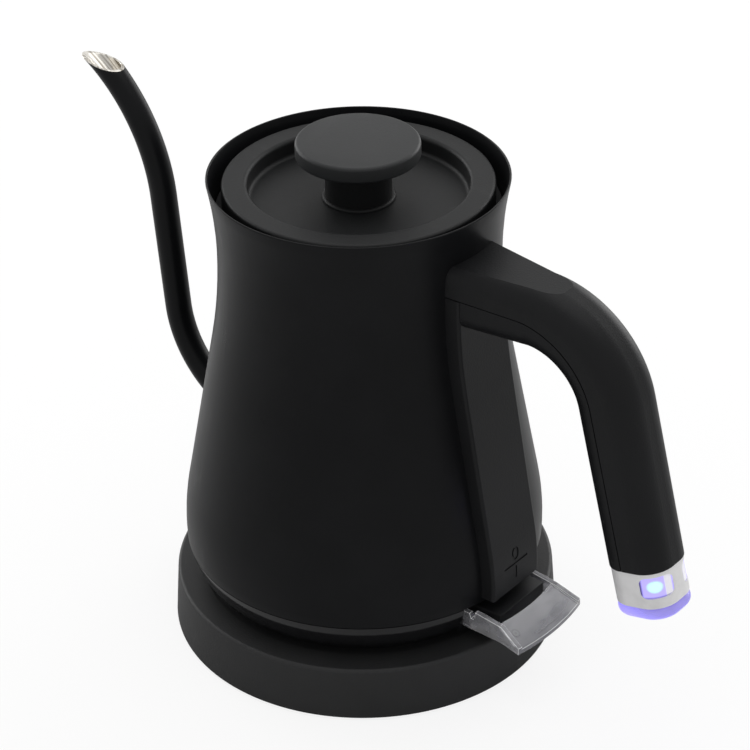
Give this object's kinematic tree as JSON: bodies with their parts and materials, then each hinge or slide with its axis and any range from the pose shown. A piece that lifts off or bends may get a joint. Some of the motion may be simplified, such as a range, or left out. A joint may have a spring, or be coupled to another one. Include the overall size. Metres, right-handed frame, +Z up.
{
  "type": "gooseneck kettle",
  "caption": "Electric gooseneck kettle with a lift-off lid, open-ended lit handle, switch lever and round power base.",
  "frame": {"origin": "middle of the power base, on the table", "axes": "+Z up, +X towards the handle, -X towards the spout, +Y to the left seen from the handle"},
  "size_m": [0.2955, 0.156, 0.2122],
  "materials": {
    "base_plastic": "fine matt moulded black",
    "rubber": "matt black",
    "screw_steel": "zinc plated",
    "connector_plastic": "moulded black",
    "contact_brass": "bright",
    "lid_plastic": "fine matt black",
    "silicone": "soft matt black",
    "knob_plastic": "satin black",
    "clear_plastic": "clear moulded",
    "handle_plastic": "matt moulded black",
    "body_paint": "matt black coating",
    "spout_paint": "matt black outside, bare steel inside",
    "bare_steel": "pressed",
    "cast_aluminium": "cast",
    "element_steel": "heat tinted",
    "gloss_black": "polished black",
    "satin_silver": "satin silver plating",
    "window_plastic": "clear, lit from behind",
    "board": "circuit board",
    "lamp_lens": "lit lamp",
    "cap_plastic": "translucent, lit from inside",
    "wire_cover": "insulated wire"
  },
  "bodies": {
    "base": {"base_cover": "base_plastic", "base_plate": "base_plastic", "foot_ring": "rubber", "base_screws": "screw_steel", "socket_housing": "connector_plastic", "socket_contacts": "contact_brass", "cord_gland": "rubber"},
    "coupler": {"connector_plug": "connector_plastic", "connector_pins": "contact_brass"},
    "lid": {"lid_cover": "lid_plastic", "lid_skirt": "lid_plastic", "lid_gasket": "silicone", "knob_stem": "lid_plastic", "knob_disc": "knob_plastic", "knob_screw": "screw_steel"},
    "lever": {"lever_paddle": "clear_plastic", "lever_bar": "handle_plastic"},
    "push": {"push_rod": "connector_plastic"},
    "kettle": {"bimetal_disc": "bare_steel", "body_shell": "body_paint", "bottom_cover": "base_plastic", "bottom_ring": "gloss_black", "bottom_screws": "screw_steel", "control_unit": "connector_plastic", "end_cap": "cap_plastic", "end_ring": "satin_silver", "floor_pan": "bare_steel", "handle_bracket": "bare_steel", "handle_column": "handle_plastic", "handle_insert": "handle_plastic", "handle_screws": "screw_steel", "handle_shell": "handle_plastic", "heat_plate": "cast_aluminium", "heating_element": "element_steel", "indicator_windows": "window_plastic", "lamps": "lamp_lens", "lever_pin": "screw_steel", "light_board": "board", "light_wires": "wire_cover", "spout_tube": "spout_paint", "steam_tube": "silicone"}
  },
  "joints": [
    {"name": "kettle_lift", "type": "slide", "parent": "base", "child": "coupler", "axis": [0, 0, 1], "range_m": [0, 0.06]},
    {"name": "kettle_swivel", "type": "hinge", "parent": "coupler", "child": "kettle", "pos_m": [0, 0, 0.022], "axis": [0, 0, 1], "continuous": true},
    {"name": "lid_lift", "type": "slide", "parent": "kettle", "child": "lid", "axis": [0, 0, 1], "range_m": [0, 0.05]},
    {"name": "lever_tilt", "type": "hinge", "parent": "kettle", "child": "lever", "pos_m": [0.062, 0, 0.0325], "axis": [0, -1, 0], "range_deg": [0, 9]},
    {"name": "push_slide", "type": "slide", "parent": "kettle", "child": "push", "axis": [0, 0, -1], "range_m": [0, 0.0012]}
  ],
  "couplings": [
    {"joint": "push_slide", "follows": "lever_tilt", "m_per_rad": 0.0065}
  ]
}
